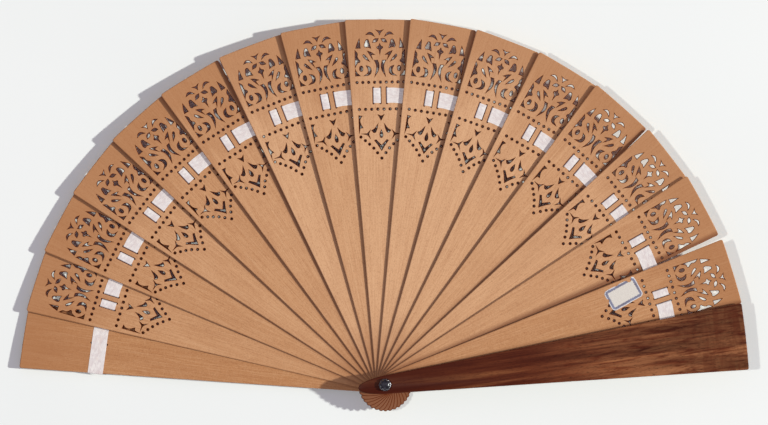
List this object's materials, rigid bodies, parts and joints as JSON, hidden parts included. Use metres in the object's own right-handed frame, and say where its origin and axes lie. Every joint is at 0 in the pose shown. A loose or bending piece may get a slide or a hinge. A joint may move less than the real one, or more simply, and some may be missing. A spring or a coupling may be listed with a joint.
{
  "type": "folding fan",
  "caption": "Brise hand fan spread open: pierced sandalwood sticks on a jewelled rivet between rosewood guards, threaded with a satin ribbon.",
  "frame": {"origin": "on the rivet axis, at the flat rear face of the rivet's rear head", "axes": "+Z along the rivet towards the front guard and the jewel, +Y from the rivet to the middle of the open rim, +X towards the front guard"},
  "size_m": [0.4195, 0.2257, 0.0214],
  "materials": {
    "sandalwood": "bare, fine straight grain, satin",
    "rosewood": "polished, striped figure",
    "ribbon_satin": "thin off-white satin",
    "rivet_metal": "worn",
    "setting_silver": "tarnished silver",
    "paste_stone": "faceted, polished",
    "label_paper": "matt paper"
  },
  "bodies": {
    "rear_assembly": {"rear_guard": "rosewood", "plain_stick": "sandalwood", "ribbon_00": "ribbon_satin", "rivet_rear_head": "rivet_metal", "rivet_pin": "rivet_metal", "jewel_setting": "setting_silver", "paste_stone": "paste_stone"},
    "stick_01": {"stick_01": "sandalwood", "ribbon_01": "ribbon_satin"},
    "stick_02": {"stick_02": "sandalwood", "ribbon_02": "ribbon_satin"},
    "stick_03": {"stick_03": "sandalwood", "ribbon_03": "ribbon_satin"},
    "stick_04": {"stick_04": "sandalwood", "ribbon_04": "ribbon_satin"},
    "stick_05": {"stick_05": "sandalwood", "ribbon_05": "ribbon_satin"},
    "stick_06": {"stick_06": "sandalwood", "ribbon_06": "ribbon_satin"},
    "stick_07": {"stick_07": "sandalwood", "ribbon_07": "ribbon_satin"},
    "stick_08": {"stick_08": "sandalwood", "ribbon_08": "ribbon_satin"},
    "stick_09": {"stick_09": "sandalwood", "ribbon_09": "ribbon_satin"},
    "stick_10": {"stick_10": "sandalwood", "ribbon_10": "ribbon_satin"},
    "stick_11": {"stick_11": "sandalwood", "ribbon_11": "ribbon_satin"},
    "stick_12": {"stick_12": "sandalwood", "ribbon_12": "ribbon_satin"},
    "stick_13": {"stick_13": "sandalwood", "ribbon_13": "ribbon_satin"},
    "stick_14": {"stick_14": "sandalwood", "ribbon_14": "ribbon_satin"},
    "stick_15": {"stick_15": "sandalwood", "ribbon_15": "ribbon_satin", "inventory_label": "label_paper"},
    "front_guard": {"front_guard": "rosewood", "ribbon_16": "ribbon_satin"}
  },
  "joints": [
    {"name": "stick_01_pivot", "type": "hinge", "parent": "rear_assembly", "child": "stick_01", "pos_m": [0, 0, 0], "axis": [0, 0, 1], "range_deg": [0, 9]},
    {"name": "stick_02_pivot", "type": "hinge", "parent": "stick_01", "child": "stick_02", "pos_m": [0, 0, 0], "axis": [0, 0, 1], "range_deg": [0, 9.8]},
    {"name": "stick_03_pivot", "type": "hinge", "parent": "stick_02", "child": "stick_03", "pos_m": [0, 0, 0], "axis": [0, 0, 1], "range_deg": [0, 10.1]},
    {"name": "stick_04_pivot", "type": "hinge", "parent": "stick_03", "child": "stick_04", "pos_m": [0, 0, 0], "axis": [0, 0, 1], "range_deg": [0, 10.35]},
    {"name": "stick_05_pivot", "type": "hinge", "parent": "stick_04", "child": "stick_05", "pos_m": [0, 0, 0], "axis": [0, 0, 1], "range_deg": [0, 10.4]},
    {"name": "stick_06_pivot", "type": "hinge", "parent": "stick_05", "child": "stick_06", "pos_m": [0, 0, 0], "axis": [0, 0, 1], "range_deg": [0, 10.8]},
    {"name": "stick_07_pivot", "type": "hinge", "parent": "stick_06", "child": "stick_07", "pos_m": [0, 0, 0], "axis": [0, 0, 1], "range_deg": [0, 10.35]},
    {"name": "stick_08_pivot", "type": "hinge", "parent": "stick_07", "child": "stick_08", "pos_m": [0, 0, 0], "axis": [0, 0, 1], "range_deg": [0, 10.3]},
    {"name": "stick_09_pivot", "type": "hinge", "parent": "stick_08", "child": "stick_09", "pos_m": [0, 0, 0], "axis": [0, 0, 1], "range_deg": [0, 10.3]},
    {"name": "stick_10_pivot", "type": "hinge", "parent": "stick_09", "child": "stick_10", "pos_m": [0, 0, 0], "axis": [0, 0, 1], "range_deg": [0, 10.55]},
    {"name": "stick_11_pivot", "type": "hinge", "parent": "stick_10", "child": "stick_11", "pos_m": [0, 0, 0], "axis": [0, 0, 1], "range_deg": [0, 10.4]},
    {"name": "stick_12_pivot", "type": "hinge", "parent": "stick_11", "child": "stick_12", "pos_m": [0, 0, 0], "axis": [0, 0, 1], "range_deg": [0, 10.25]},
    {"name": "stick_13_pivot", "type": "hinge", "parent": "stick_12", "child": "stick_13", "pos_m": [0, 0, 0], "axis": [0, 0, 1], "range_deg": [0, 10.75]},
    {"name": "stick_14_pivot", "type": "hinge", "parent": "stick_13", "child": "stick_14", "pos_m": [0, 0, 0], "axis": [0, 0, 1], "range_deg": [0, 9.4]},
    {"name": "stick_15_pivot", "type": "hinge", "parent": "stick_14", "child": "stick_15", "pos_m": [0, 0, 0], "axis": [0, 0, 1], "range_deg": [0, 11.35]},
    {"name": "front_guard_pivot", "type": "hinge", "parent": "stick_15", "child": "front_guard", "pos_m": [0, 0, 0], "axis": [0, 0, 1], "range_deg": [0, 10.45]}
  ],
  "couplings": [
    {"joint": "stick_02_pivot", "follows": "stick_01_pivot", "ratio": 1.0888},
    {"joint": "stick_03_pivot", "follows": "stick_01_pivot", "ratio": 1.1222},
    {"joint": "stick_04_pivot", "follows": "stick_01_pivot", "ratio": 1.15},
    {"joint": "stick_05_pivot", "follows": "stick_01_pivot", "ratio": 1.1555},
    {"joint": "stick_06_pivot", "follows": "stick_01_pivot", "ratio": 1.2},
    {"joint": "stick_07_pivot", "follows": "stick_01_pivot", "ratio": 1.15},
    {"joint": "stick_08_pivot", "follows": "stick_01_pivot", "ratio": 1.1444},
    {"joint": "stick_09_pivot", "follows": "stick_01_pivot", "ratio": 1.1444},
    {"joint": "stick_10_pivot", "follows": "stick_01_pivot", "ratio": 1.1722},
    {"joint": "stick_11_pivot", "follows": "stick_01_pivot", "ratio": 1.1555},
    {"joint": "stick_12_pivot", "follows": "stick_01_pivot", "ratio": 1.1388},
    {"joint": "stick_13_pivot", "follows": "stick_01_pivot", "ratio": 1.1944},
    {"joint": "stick_14_pivot", "follows": "stick_01_pivot", "ratio": 1.0444},
    {"joint": "stick_15_pivot", "follows": "stick_01_pivot", "ratio": 1.2611},
    {"joint": "front_guard_pivot", "follows": "stick_01_pivot", "ratio": 1.1611}
  ]
}
